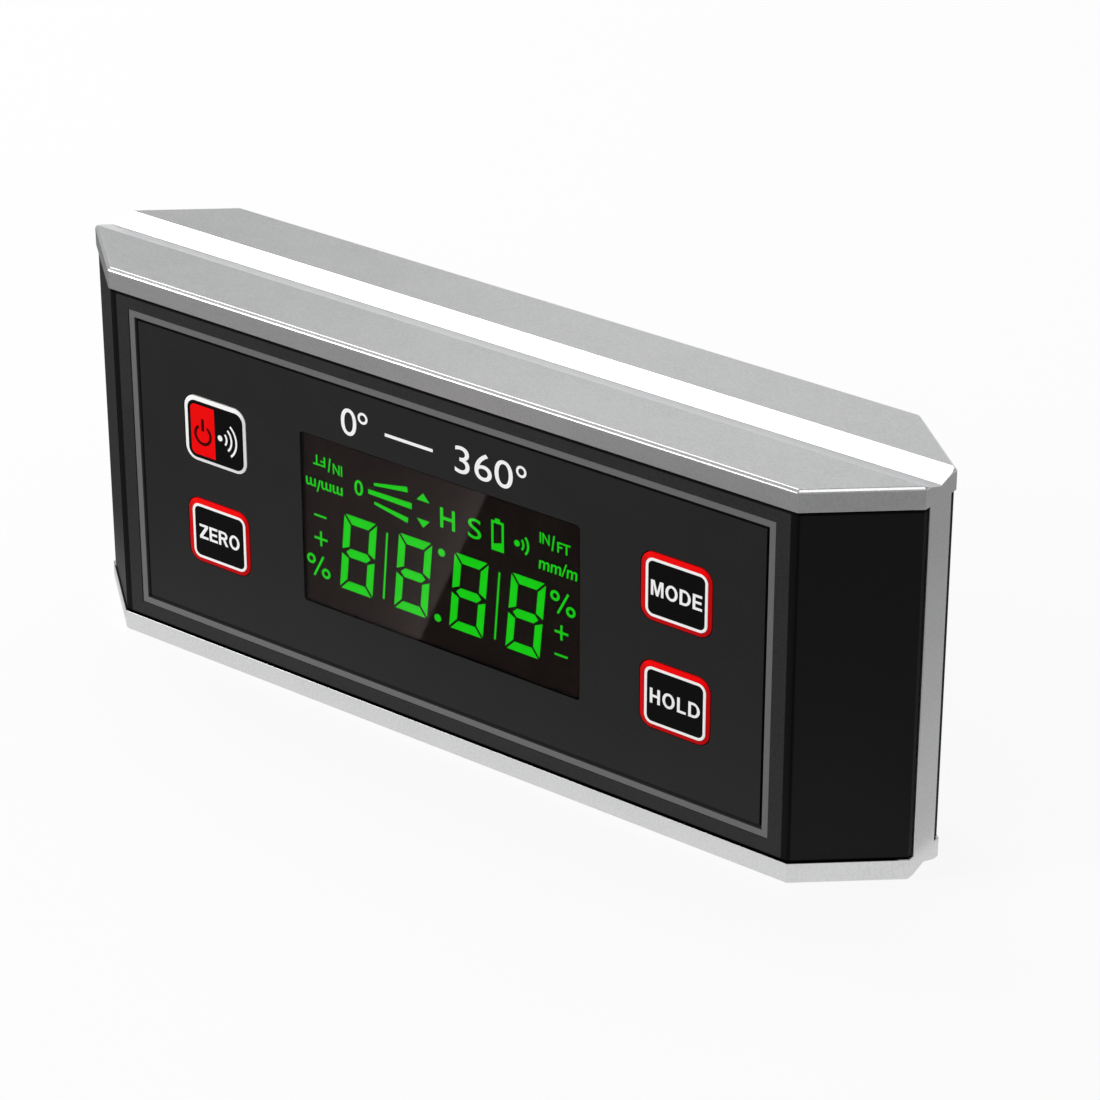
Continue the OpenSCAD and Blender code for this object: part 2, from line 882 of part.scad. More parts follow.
module cover_screws() {
  color([0.5, 0.5, 0.52])
    for (b = bosses)
      screw(b, screw_d, screw_l, screw_head_d, screw_head_t, screw_seat_y);
}

module board_screws() {
  color([0.6, 0.6, 0.6])
    for (b = board_posts)
      screw(b, board_screw_d, board_t + (board_y - inner_y) * 0.8, board_head_d, board_head_t, board_back_y);
}

frame();
front_cover();
rear_cover();
face_trim();
faceplate();
display_lens();
display_glass();
backlight();
strip_top();
strip_bottom();
main_board();
tilt_sensor();
controller_chip();
buzzer();
key_power();
key_zero();
key_mode();
key_hold();
plunger_power();
plunger_zero();
plunger_mode();
plunger_hold();
switch_power();
switch_zero();
switch_mode();
switch_hold();
cell_upper();
cell_lower();
contact_positive();
contact_negative();
contact_bridge();
spring_negative();
spring_bridge();
battery_door();
cover_screws();
board_screws();
magnets();
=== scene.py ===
import math

import bmesh
import bpy
from mathutils import Matrix, Vector


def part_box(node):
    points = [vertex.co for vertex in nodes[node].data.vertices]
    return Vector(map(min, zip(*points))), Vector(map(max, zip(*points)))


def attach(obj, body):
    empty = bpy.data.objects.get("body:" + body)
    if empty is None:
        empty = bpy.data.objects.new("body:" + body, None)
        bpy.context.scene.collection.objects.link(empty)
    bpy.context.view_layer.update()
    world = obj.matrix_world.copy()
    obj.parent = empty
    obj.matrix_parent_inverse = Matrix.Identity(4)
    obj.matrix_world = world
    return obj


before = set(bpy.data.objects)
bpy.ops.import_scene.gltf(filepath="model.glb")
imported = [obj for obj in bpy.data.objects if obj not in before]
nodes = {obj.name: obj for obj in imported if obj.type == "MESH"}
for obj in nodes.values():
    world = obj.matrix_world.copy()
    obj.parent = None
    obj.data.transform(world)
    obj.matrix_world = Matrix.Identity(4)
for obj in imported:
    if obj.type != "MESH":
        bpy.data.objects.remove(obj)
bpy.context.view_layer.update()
MM = 0.001


def in_mm(box):
    """A box's lowest and highest corner, in millimetres."""
    return [[c / MM for c in corner] for corner in box]


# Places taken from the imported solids, in millimetres.
plate_low, plate_high = in_mm(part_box("faceplate"))
lens_low, lens_high = in_mm(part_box("display_lens"))
cover_low, cover_high = in_mm(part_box("front_cover"))
MIDDLE_Z = (plate_low[2] + plate_high[2]) / 2
FRAME_HALF = in_mm(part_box("frame"))[1][2] - MIDDLE_Z
SEAM_OFF = cover_high[2] - MIDDLE_Z
COVER_FACE = -cover_low[1]
TRIM_FACE = in_mm(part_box("face_trim"))[0][1]
PLATE_FRONT = plate_low[1]
GLASS_FRONT = in_mm(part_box("display_glass"))[0][1]
LENS_BACK = lens_high[1]
KEY_TOP = in_mm(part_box("key_mode"))[0][1]
KEYS = {}
for name in ("power", "zero", "mode", "hold"):
    low, high = in_mm(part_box("key_" + name))
    KEYS[name] = ((low[0] + high[0]) / 2, (low[2] + high[2]) / 2)

# Sizes of the solids that no box gives: the rails' V-groove, and a key's cap with the radius of its corners.
GROOVE_HALF, GROOVE_DEEP = 3.8, 1.2
KEY_HALF_X, KEY_HALF_Z, KEY_CORNER = 6.0, 5.3, 2.1


class Value:
    """A shader socket that Python's operators turn into Math nodes."""

    def __init__(self, finish, socket):
        self.finish = finish
        self.socket = socket

    def _math(self, operation, *terms):
        return self.finish.add("ShaderNodeMath", {"operation": operation}, dict(enumerate(terms)))[0]

    def __add__(self, other):
        return self._math("ADD", self, other)

    def __radd__(self, other):
        return self._math("ADD", other, self)

    def __sub__(self, other):
        return self._math("SUBTRACT", self, other)

    def __rsub__(self, other):
        return self._math("SUBTRACT", other, self)

    def __mul__(self, other):
        return self._math("MULTIPLY", self, other)

    def __rmul__(self, other):
        return self._math("MULTIPLY", other, self)

    def __truediv__(self, other):
        return self._math("DIVIDE", self, other)

    def __rtruediv__(self, other):
        return self._math("DIVIDE", other, self)

    def __abs__(self):
        return self._math("ABSOLUTE", self)

    def __pow__(self, other):
        return self._math("POWER", self, other)

    def most(self, other):
        """The larger of two values."""
        return self._math("MAXIMUM", self, other)

    def least(self, other):
        """The smaller of two values."""
        return self._math("MINIMUM", self, other)

    def rise(self, start, end):
        """0 below start, 1 above end, smooth between."""
        ramp = {"interpolation_type": "SMOOTHSTEP", "clamp": True}
        ends = {"Value": self, "From Min": start, "From Max": end}
        return self.finish.add("ShaderNodeMapRange", ramp, ends)[0]


class Finish:
    """One material, built node by node around a Principled shader."""

    # Places of sockets: Object among a Texture Coordinate's outputs, and the colour sockets of a Mix node.
    OBJECT_SPOT = 3
    MIX_SHARE, MIX_FIRST, MIX_SECOND, MIXED_COLOUR = 0, 6, 7, 2

    def __init__(self, name, **constants):
        self.material = bpy.data.materials.new(name)
        self.material.use_nodes = True
        self.tree = self.material.node_tree
        self.shader = self.tree.nodes["Principled BSDF"]
        for key, constant in constants.items():
            self.shader.inputs[key.replace("_", " ")].default_value = constant

    def add(self, kind, settings, inputs):
        """Adds one node: its settings first, then the values or links of its sockets. Returns its outputs."""
        node = self.tree.nodes.new(kind)
        for key, setting in settings.items():
            setattr(node, key, setting)
        for key, given in inputs.items():
            if isinstance(given, Value):
                self.tree.links.new(given.socket, node.inputs[key])
            else:
                node.inputs[key].default_value = given
        return [Value(self, s) for s in node.outputs if s.enabled]

    def feed(self, socket, value):
        """Links a value to a socket of the Principled shader."""
        self.tree.links.new(value.socket, self.shader.inputs[socket])

    def surface(self, value):
        """Links another shader to the material's surface."""
        self.tree.links.new(value.socket, self.tree.nodes["Material Output"].inputs["Surface"])

    def place(self):
        """Object coordinates in metres, and their X, Y and Z."""
        spot = self.add("ShaderNodeTexCoord", {}, {})[self.OBJECT_SPOT]
        return spot, self.add("ShaderNodeSeparateXYZ", {}, {0: spot})

    def grain(self, spot, scale, detail=2.0, roughness=0.5):
        """Noise from 0 to 1, with about as many specks to the metre as its scale."""
        sizes = {"Vector": spot, "Scale": scale, "Detail": detail, "Roughness": roughness}
        return self.add("ShaderNodeTexNoise", {}, sizes)[0]

    def blend(self, share, first, second):
        """Two colours, or values holding colours, mixed by a share from 0 to 1."""
        given = {self.MIX_SHARE: share, self.MIX_FIRST: first, self.MIX_SECOND: second}
        node = self.add("ShaderNodeMix", {"data_type": "RGBA"}, given)[0].socket.node
        return Value(self, node.outputs[self.MIXED_COLOUR])

    def bumps(self, height, strength, depth):
        """A normal that follows a height, its full depth in millimetres."""
        sizes = {"Height": height, "Strength": strength, "Distance": depth * MM}
        return self.add("ShaderNodeBump", {}, sizes)[0]


# Stretches of a noise's values over which a tone changes.
GENTLE, CRISP = (0.3, 0.7), (0.35, 0.65)


def grey(level):
    """A neutral colour."""
    return (level, level, level, 1.0)


def blasted_aluminium():
    """Bead-blasted, clear anodised aluminium: fine even grain, faint clouds, painted highlight in the
    grooves, painted shade along the seams.
    """
    f = Finish("blasted_aluminium", Metallic=1.0)
    spot, (_, y, z) = f.place()
    cloud = f.grain(spot, 130.0, detail=4.0, roughness=0.6)
    speck = f.grain(spot, 2600.0, roughness=0.6)
    dull, pale, sparkle = (0.605, 0.607, 0.612, 1), (0.635, 0.637, 0.642, 1), (0.72, 0.72, 0.725, 1)
    groove_highlight_tone, shadow = (0.71, 0.712, 0.717, 1), grey(0.02)
    tone = f.blend(cloud.rise(*GENTLE), dull, pale)
    tone = f.blend(speck.rise(*CRISP) * 0.6, tone, sparkle)

    off_centre, off_middle = abs(y / MM), abs(z / MM - MIDDLE_Z)
    down = FRAME_HALF - off_middle
    under_slopes = off_centre * (GROOVE_DEEP / GROOVE_HALF) - GROOVE_DEEP + down
    # The V-groove's slopes get a lighter tone: a painted highlight.
    slope_skin, groove_lip = (0.03, 0.08), (GROOVE_HALF - 0.1, GROOVE_HALF)
    groove = (1.0 - under_slopes.rise(*slope_skin)) * (1.0 - off_centre.rise(*groove_lip))
    tone = f.blend(groove, tone, groove_highlight_tone)

    # Near-black on the rails along the covers' edges, away from the posts: painted shade in the seam.
    seam_edge, beside_posts = (SEAM_OFF + 0.2, SEAM_OFF + 0.26), (4.5, 5.0)
    seam_shade = (1.0 - off_middle.rise(*seam_edge)) * off_centre.rise(*beside_posts)
    f.feed("Base Color", f.blend(seam_shade, tone, shadow))
    f.feed("Roughness", 0.25 + 0.02 * cloud + 0.08 * speck)
    f.feed("Normal", f.bumps(speck, strength=0.15, depth=0.05))
    return f.material


def moulded_black(name, level, gloss, grain, corner_shade=None, side_shade=None):
    """Fine-textured black plastic.

    The corner shade, where given, is a stretch of X, in millimetres from the middle, painted dull and nearly
    black: painted shade along the cover's upright corners. The side shade, where given, is the share of the
    face's tone that a cover's sides keep, a painted shade; such a cover also has a painted shadow line along
    its upper and lower edge.
    """
    f = Finish(name, Specular_IOR_Level=gloss)
    spot, (x, y, z) = f.place()
    cloud = f.grain(spot, 160.0, detail=3.0)
    pits = f.grain(spot, grain)
    tone = f.blend(pits.rise(*GENTLE), grey(level * 0.82), grey(level * 1.18))
    tone = f.blend(cloud.rise(*CRISP) * 0.25, tone, grey(level * 1.3))
    rough, duller = 0.5 + 0.12 * pits, 0.35
    # Painted shade: a dull, nearly black band along the cover's upright corners.
    if corner_shade:
        soft = 0.1
        start, end = corner_shade
        from_middle = abs(x / MM)
        past_start = from_middle.rise(start - soft, start + soft)
        painted_corner_shade = past_start * (1.0 - from_middle.rise(end - soft, end + soft))
        tone = f.blend(painted_corner_shade, tone, grey(level * 0.03))
        rough = rough + duller * painted_corner_shade
    # Painted shade: the cover's sides keep only a share of the face's tone.
    if side_shade:
        side_start, side_end = COVER_FACE - 0.2, COVER_FACE - 0.06
        upper_line, lower_line = (SEAM_OFF - 0.45, SEAM_OFF - 0.38), (SEAM_OFF - 0.22, SEAM_OFF - 0.16)
        side = 1.0 - abs(y / MM).rise(side_start, side_end)
        tone = f.blend(side, tone, grey(level * side_shade))
        # Painted shadow: black lines along the cover's upper and lower edge, where the rails overhang it.
        up = z / MM - MIDDLE_Z
        gap_shadow_line = up.rise(*upper_line).most((up * -1.0).rise(*lower_line))
        tone = f.blend(gap_shadow_line, tone, grey(0.0))
        rough = rough + duller * gap_shadow_line
    f.feed("Base Color", tone)
    f.feed("Roughness", rough)
    f.feed("Normal", f.bumps(pits, strength=0.25, depth=0.03))
    return f.material


def satin_grey():
    """Grey face of the trim; its inner slope is painted dark, darker deeper in: painted shade in the recess.
    """
    f = Finish("satin_grey", Specular_IOR_Level=0.35)
    spot, (_, y, _) = f.place()
    pits = f.grain(spot, 3000.0)
    # Painted shade: the trim's inner slope fades to near black as it goes back into the recess.
    slope_start, slope_end = 0.02, 0.12
    slope = (y / MM - TRIM_FACE).rise(slope_start, slope_end)
    f.feed("Base Color", f.blend(slope, f.blend(pits, grey(0.114), grey(0.14)), grey(0.02)))
    f.feed("Roughness", 0.42 + 0.1 * pits)
    return f.material


def smoked_lens():
    """Clear acrylic with a smoky tint, blackened round its cut edge."""
    f = Finish("smoked_lens", Transmission_Weight=1.0, IOR=1.22, Roughness=0.0)
    spot, (x, _, z) = f.place()
    haze = f.grain(spot, 60.0)
    half_x = (lens_high[0] - lens_low[0]) / 2
    half_z = (lens_high[2] - lens_low[2]) / 2
    off_x = abs(x / MM) - half_x
    off_z = abs(z / MM - MIDDLE_Z) - half_z
    skin_start, skin_end = -0.06, -0.04
    cut = off_x.most(off_z).rise(skin_start, skin_end)
    f.feed("Base Color", f.blend(haze, (0.80, 0.76, 0.76, 1), (0.84, 0.81, 0.81, 1)))
    clear = Value(f, f.shader.outputs[0])
    black = f.add("ShaderNodeBsdfDiffuse", {}, {"Color": grey(0.004)})[0]
    f.surface(f.add("ShaderNodeMixShader", {}, {0: cut, 1: clear, 2: black})[0])
    return f.material


def mottled(name, low, high, scale, detail=2.0, rough=None, uneven=0.1, **constants):
    """A finish between two close tones; where rough is given, its roughness follows the tone."""
    f = Finish(name, **constants)
    spot, _ = f.place()
    tone = f.grain(spot, scale, detail)
    f.feed("Base Color", f.blend(tone, low, high))
    if rough:
        f.feed("Roughness", rough + uneven * tone)
    return f.material


def plain_metal(name, low, high, rough):
    """Plated or zinc-finished metal with a fine uneven tone."""
    return mottled(name, low, high, scale=1500.0, detail=3.0, rough=rough, uneven=0.12, Metallic=1.0)


def plain_moulding(name, low, high, rough, scale=900.0):
    """A plain moulded or coated piece inside the case."""
    return mottled(name, low, high, scale, detail=3.0, rough=rough)


def printed(name, low, high, **constants):
    """Ink printed on a key or on the faceplate."""
    return mottled(name, low, high, scale=1800.0, Roughness=0.5, **constants)


def lit_green():
    """The display's marks, which glow green."""
    f = Finish("lit_green", Roughness=0.6, Specular_IOR_Level=0.0, Emission_Strength=1.0)
    spot, _ = f.place()
    haze = f.grain(spot, 500.0)
    f.feed("Base Color", f.blend(haze, (0.0, 0.05, 0.002, 1), (0.0, 0.06, 0.003, 1)))
    f.feed("Emission Color", f.blend(haze, (0.007, 0.655, 0.005, 1), (0.012, 0.78, 0.011, 1)))
    return f.material


# The keys' print sits a little to the right of the middle and below it.
PRINT_RIGHT, PRINT_DOWN = 0.14, 0.04
# How far inside the power key's pad its red half begins, and where that half ends across the key.
RED_INSET, RED_END = 0.52, -0.12


def key_rubber(name, centre, rim_shade_and_highlight, ring, ring_in, pad_in, left_half=None):
    """Key cap: a coloured rim on the slope, with a painted highlight along its top and painted shade below, a
    printed ring inside it, then the pad.

    ring_in and pad_in are how far inside the key's edge, in millimetres, the ring and the pad begin.
    left_half is the colour of the pad's left half, where that differs.
    """
    f = Finish(name, Specular_IOR_Level=0.03)
    spot, (x, _, z) = f.place()
    straight_x, straight_z = KEY_HALF_X - KEY_CORNER, KEY_HALF_Z - KEY_CORNER
    across = x / MM - centre[0] - PRINT_RIGHT
    over_x = abs(across) - straight_x
    over_z = abs(z / MM - centre[1] + PRINT_DOWN) - straight_z
    out_x = over_x.most(0.0)
    out_z = over_z.most(0.0)
    inside = over_x.most(over_z).least(0.0)
    edge = (out_x * out_x + out_z * out_z) ** 0.5 + inside - KEY_CORNER
    depth = edge * -1.0
    soft = 0.03

    def past(value, line):
        return value.rise(line - soft, line + soft)

    skin = f.grain(spot, 2400.0)
    pad = f.blend(skin, grey(0.0028), grey(0.0045))
    if left_half:
        red = f.blend(skin, (left_half[0] * 0.94, left_half[1], left_half[2], 1), left_half)
        pad = f.blend(past(depth, pad_in + RED_INSET) * (1.0 - past(across, RED_END)), pad, red)
    # The rim is painted lighter along its top and darker below: painted highlight and painted shade.
    above = z / MM - centre[1] - straight_z - out_x
    top_start, top_end = -0.8, 0.4
    rim = f.blend(above.rise(top_start, top_end), *rim_shade_and_highlight)
    tone = f.blend(past(depth, ring_in), rim, ring)
    f.feed("Base Color", f.blend(past(depth, pad_in), tone, pad))
    f.feed("Roughness", 0.45 + 0.12 * skin)
    f.feed("Normal", f.bumps(skin, strength=0.1, depth=0.02))
    return f.material


def board_lacquer():
    """Green board with faint straight copper runs under its lacquer."""
    f = Finish("board_lacquer")
    spot, (x, _, z) = f.place()
    flat = f.add("ShaderNodeCombineXYZ", {}, {0: x, 1: z, 2: 0.0})[0]
    sizes = {"Vector": flat, "Scale": 180.0, "Mortar Size": 0.06, "Mortar Smooth": 0.1}
    runs = f.add("ShaderNodeTexBrick", {"offset": 0.5, "squash": 1.0}, sizes)[1]
    tone = f.grain(spot, 700.0)
    base = f.blend(tone, (0.012, 0.13, 0.055, 1), (0.016, 0.16, 0.07, 1))
    f.feed("Base Color", f.blend(runs * 0.6, base, (0.03, 0.24, 0.11, 1)))
    f.feed("Roughness", 0.35 + 0.1 * tone)
    return f.material


def cell_sleeve(name, nub_left):
    """A printed sleeve with a plain band at its nub end, bare metal on both end faces."""
    low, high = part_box(name)
    f = Finish(name + "_sleeve")
    spot, (x, _, _) = f.place()
    along = (x - low[0]) / MM if nub_left else (high[0] - x) / MM
    nub_end, band_end, flat_end = (1.5, 1.56), (12.0, 12.06), (44.1, 44.14)
    band = 1.0 - along.rise(*band_end)
    ends = 1.0 - along.rise(*nub_end) + along.rise(*flat_end)
    ink = f.grain(spot, 900.0)
    sleeve = f.blend(ink, (0.012, 0.016, 0.03, 1), (0.017, 0.022, 0.04, 1))
    sleeve = f.blend(band, sleeve, (0.42, 0.22, 0.07, 1))
    f.feed("Base Color", f.blend(ends, sleeve, grey(0.62)))
    f.feed("Metallic", ends.least(1.0))
    f.feed("Roughness", 0.3 + 0.1 * ink)
    return f.material


# RED and WHITE are the keys' own colours; the darker red and darker white beside them are painted shade on
# the lower part of a key's rim.
RED, RED_PAINTED_SHADE = (0.88, 0.0006, 0.001, 1), (0.56, 0.003, 0.0045, 1)
WHITE, WHITE_PAINTED_SHADE = (0.93, 0.93, 0.92, 1), (0.82, 0.82, 0.81, 1)
# Where the case's upright corners get their band of painted shade, in millimetres from the middle in X.
CORNER_SHADE_BAND = (60.8, 62.2)

green = lit_green()
ink_white = printed("printed_white", grey(0.88), grey(0.95))
ink_dark_red = printed("printed_dark_red", (0.045, 0.0008, 0.001, 1), (0.06, 0.001, 0.0012, 1),
                       Specular_IOR_Level=0.02)
display_dark = mottled("display_dark", (0.0205, 0.0148, 0.0128, 1), (0.025, 0.0185, 0.016, 1),
                       scale=120.0, detail=3.0, rough=0.5, Specular_IOR_Level=0.0)
case_black = moulded_black("case_black", level=0.0192, gloss=0.15, grain=2600.0,
                           corner_shade=CORNER_SHADE_BAND, side_shade=0.244)
plate_black = moulded_black("plate_black", level=0.0105, gloss=0.16, grain=3400.0)
power_rubber = key_rubber("key_power_rubber", KEYS["power"], (WHITE_PAINTED_SHADE, WHITE), grey(0.004),
                          ring_in=0.6, pad_in=0.66, left_half=RED)
zinc = plain_metal("dark_zinc", grey(0.2), grey(0.3), rough=0.35)
nickel = plain_metal("nickel", (0.56, 0.55, 0.52, 1), (0.68, 0.67, 0.64, 1), rough=0.22)
spring_steel = plain_metal("spring_steel", (0.5, 0.5, 0.49, 1), (0.62, 0.62, 0.6, 1), rough=0.28)
tinned = plain_metal("tinned_steel", grey(0.5), grey(0.6), rough=0.4)
chip_black = plain_moulding("chip_epoxy", grey(0.012), grey(0.02), rough=0.4)
plunger_black = plain_moulding("plunger_black", grey(0.02), grey(0.03), rough=0.5)
silicone = plain_moulding("layered_silicone", grey(0.05), grey(0.11), rough=0.6, scale=3000.0)
diffuser = plain_moulding("light_diffuser", grey(0.75), grey(0.82), rough=0.6)

dress = {
    "frame": blasted_aluminium(),
    "front_cover": case_black, "rear_cover": case_black, "battery_door": case_black,
    "face_trim": satin_grey(), "faceplate": plate_black,
    "display_lens": smoked_lens(), "display_glass": display_dark, "backlight": diffuser,
    "strip_top": silicone, "strip_bottom": silicone,
    "main_board": board_lacquer(),
    "tilt_sensor": chip_black, "controller_chip": chip_black, "buzzer": chip_black,
    "cover_screws": zinc, "board_screws": tinned, "magnets": nickel,
    "contact_positive": nickel, "contact_negative": nickel, "contact_bridge": nickel,
    "spring_negative": spring_steel, "spring_bridge": spring_steel,
    "cell_upper": cell_sleeve("cell_upper", True), "cell_lower": cell_sleeve("cell_lower", False),
    "key_power": power_rubber,
}
for name in ("zero", "mode", "hold"):
    dress["key_" + name] = key_rubber(f"key_{name}_rubber", KEYS[name], (RED_PAINTED_SHADE, RED), WHITE,
                                      ring_in=0.76, pad_in=1.19)
for name in KEYS:
    dress["plunger_" + name] = plunger_black
    dress["switch_" + name] = tinned
for name, material in dress.items():
    slots = nodes[name].data.materials
    slots.clear()
    slots.append(material)


# Points closer than this many metres are joined, faces within the first angle count as one flat face, and
# edges sharper than the second are eased, both in degrees.
JOIN_WITHIN, FLAT_WITHIN, SHARP_FROM = 1e-6, 0.3, 28


def ease_edges(name, width, segments):
    """Small rounded edges on a solid, which catch the light; its flat faces are joined first."""
    node = nodes[name]
    weld = node.modifiers.new("join", "WELD")
    weld.merge_threshold = JOIN_WITHIN
    flat = node.modifiers.new("flat", "DECIMATE")
    flat.decimate_type = "DISSOLVE"
    flat.angle_limit = math.radians(FLAT_WITHIN)
    ease = node.modifiers.new("ease", "BEVEL")
    ease.width = width * MM
    ease.segments = segments
    ease.limit_method = "ANGLE"
    ease.angle_limit = math.radians(SHARP_FROM)
    ease.harden_normals = True
    ease.use_clamp_overlap = False


for name, width, segments in (("frame", 0.14, 3), ("front_cover", 0.1, 2), ("rear_cover", 0.1, 2),
                              ("battery_door", 0.08, 2), ("face_trim", 0.04, 2), ("faceplate", 0.03, 2)):
    ease_edges(name, width, segments)

# How far a print's back and front lie behind and before the face that carries it, and so their places in Y.
PRINT_BACK, PRINT_FRONT = 0.004, 0.014
KEY_PRINT = (KEY_TOP + PRINT_BACK, KEY_TOP - PRINT_FRONT)
PLATE_PRINT = (PLATE_FRONT + PRINT_BACK, PLATE_FRONT - PRINT_FRONT)
# The lit marks fill the room between the display's glass and its lens, apart from a hair on each side.
HAIR = 0.01
LIT_MARK = (GLASS_FRONT - HAIR, LENS_BACK + HAIR)


def thicken(bm, faces, span):
    """Draws flat faces out along Y, from the back of a span to its front."""
    back, front = span
    grown = bmesh.ops.extrude_face_region(bm, geom=faces)["geom"]
    moved = [v for v in grown if isinstance(v, bmesh.types.BMVert)]
    bmesh.ops.translate(bm, vec=(0, (front - back) * MM, 0), verts=moved)


def corners(bm, outline, span):
    """Vertices of an outline in X and Z, millimetres, at the back of a span."""
    return [bm.verts.new((x * MM, span[0] * MM, z * MM)) for x, z in outline]


def plate(bm, span, outline):
    """A flat prism on an outline in X and Z."""
    thicken(bm, [bm.faces.new(corners(bm, outline, span))], span)


def open_plate(bm, span, outer, inner):
    """A flat prism between two outlines with as many points each."""
    edges = []
    for outline in (outer, inner):
        verts = corners(bm, outline, span)
        edges += [bm.edges.new((a, b)) for a, b in zip(verts, verts[1:] + verts[:1])]
    thicken(bm, bmesh.ops.bridge_loops(bm, edges=edges)["faces"], span)


def stroke(bm, span, start, end, width, end_width=None):
    """A straight bar between two points, tapering if it is given a second width."""
    a, b = Vector(start), Vector(end)
    side = (b - a).orthogonal().normalized()
    half, far = width / 2, (end_width or width) / 2
    plate(bm, span, [a + side * half, b + side * far, b - side * far, a - side * half])


def disc(bm, span, centre, radius):
    """A filled round mark."""
    made = bmesh.ops.create_circle(bm, cap_ends=True, radius=radius * MM, segments=32)
    spot = (centre[0] * MM, span[0] * MM, centre[1] * MM)
    upright = Matrix.Translation(spot) @ Matrix.Rotation(math.pi / 2, 4, "X")
    bmesh.ops.transform(bm, matrix=upright, verts=made["verts"])
    thicken(bm, list({f for v in made["verts"] for f in v.link_faces}), span)


def sweep(bm, span, centre, radius, width, start=0, turn=360):
    """An arc of even width, from an angle in degrees through a turn, spun from its square end."""
    back, front = span
    inner, outer = radius - width / 2, radius + width / 2
    c = Vector((centre[0] * MM, 0, centre[1] * MM))
    a = math.radians(start)
    ray = Vector((math.cos(a), 0, math.sin(a)))
    square_end = [c + ray * r * MM + Vector((0, d * MM, 0)) for r, d in
                  ((inner, back), (outer, back), (outer, front), (inner, front))]
    face = bm.faces.new([bm.verts.new(p) for p in square_end])
    full = abs(turn) >= 360
    step = 7.5
    bmesh.ops.spin(bm, geom=[face] + face.edges[:] + face.verts[:], cent=c, axis=(0, -1, 0),
                   angle=math.radians(turn), steps=max(8, int(abs(turn) / step)),
                   use_merge=full, use_duplicate=False)
    if full and face.is_valid:
        bm.faces.remove(face)


def letters(bm, span, words, left, base, height, width, weight=0.0, lean=0.0, turned=False):
    """Lettering as a thin solid, placed by its left edge and base line and stretched to a height and width.

    weight thickens it, lean slants it, and turned sets it upside down.
    """
    curve = bpy.data.curves.new("letters", "FONT")
    curve.body = words
    curve.offset = weight
    curve.resolution_u = 6
    shown = bpy.data.objects.new("letters", curve)
    bpy.context.scene.collection.objects.link(shown)
    bpy.context.view_layer.update()
    flat = bpy.data.meshes.new_from_object(shown.evaluated_get(bpy.context.evaluated_depsgraph_get()))
    bpy.data.objects.remove(shown)
    part = bmesh.new()
    part.from_mesh(flat)
    bpy.data.meshes.remove(flat)
    bmesh.ops.remove_doubles(part, verts=part.verts, dist=1e-5)
    xs = [v.co.x for v in part.verts]
    ys = [v.co.y for v in part.verts]
    wide, tall = max(xs) - min(xs), max(ys) - min(ys)
    for v in part.verts:
        across = (v.co.x - min(xs)) / wide
        up = (v.co.y - min(ys)) / tall
        if turned:
            across, up = 1 - across, 1 - up
        v.co = ((left + across * width + up * height * lean) * MM, span[0] * MM, (base + up * height) * MM)
    thicken(part, part.faces[:], span)
    joined = bpy.data.meshes.new("letters")
    part.to_mesh(joined)
    part.free()
    bm.from_mesh(joined)
    bpy.data.meshes.remove(joined)


def closed(name, bm, material):
    """Closes a mesh into an object of the scene, its faces turned outwards."""
    bmesh.ops.recalc_face_normals(bm, faces=bm.faces)
    mesh = bpy.data.meshes.new(name)
    bm.to_mesh(mesh)
    bm.free()
    mesh.materials.append(material)
    shown = bpy.data.objects.new(name, mesh)
    bpy.context.scene.collection.objects.link(shown)
    return shown


def piece(name, bm, material, body):
    """A finished piece that rides on a body."""
    shown = closed(name, bm, material)
    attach(shown, body)


# The numerals: how many, left edge of the first, step between them and base line, then their own sizes.
DIGITS, DIGIT_LEFT, DIGIT_STEP, DIGIT_BASE = 4, -18.95, 10.3, 20.65
DIGIT_WIDE, DIGIT_TALL, DIGIT_LEAN = 6.15, 12.5, 0.098
LEVEL_BAR, UPRIGHT_BAR, BAR_GAP = 1.45, 1.28, 0.26


def digit(bm, left):
    """All seven bars of one leaning numeral."""
    w, h, t, s, g = DIGIT_WIDE, DIGIT_TALL, LEVEL_BAR, UPRIGHT_BAR, BAR_GAP
    mid, tip, point = h / 2, g + 0.1, 0.62 * s
    bars = [
        [(g, h), (w - g, h), (w - s - g, h - t), (s + g, h - t)],
        [(g, 0), (w - g, 0), (w - s - g, t), (s + g, t)],
        [(0, h - g), (s, h - t - g), (s, mid + t / 2 + g), (0, mid + tip)],
        [(w, h - g), (w - s, h - t - g), (w - s, mid + t / 2 + g), (w, mid + tip)],
        [(0, g), (s, t + g), (s, mid - t / 2 - g), (0, mid - tip)],
        [(w, g), (w - s, t + g), (w - s, mid - t / 2 - g), (w, mid - tip)],
        [(point, mid), (s + g, mid + t / 2), (w - s - g, mid + t / 2), (w - point, mid),
         (w - s - g, mid - t / 2), (s + g, mid - t / 2)],
    ]
    for bar in bars:
        plate(bm, LIT_MARK, [(left + x + z * DIGIT_LEAN, DIGIT_BASE + z) for x, z in bar])


# Widths of the display's thin bars.
DIVIDER, PLUS, MINUS, SLASH, BATTERY_LINE, WAVE = 0.32, 0.36, 0.3, 0.26, 0.38, 0.36
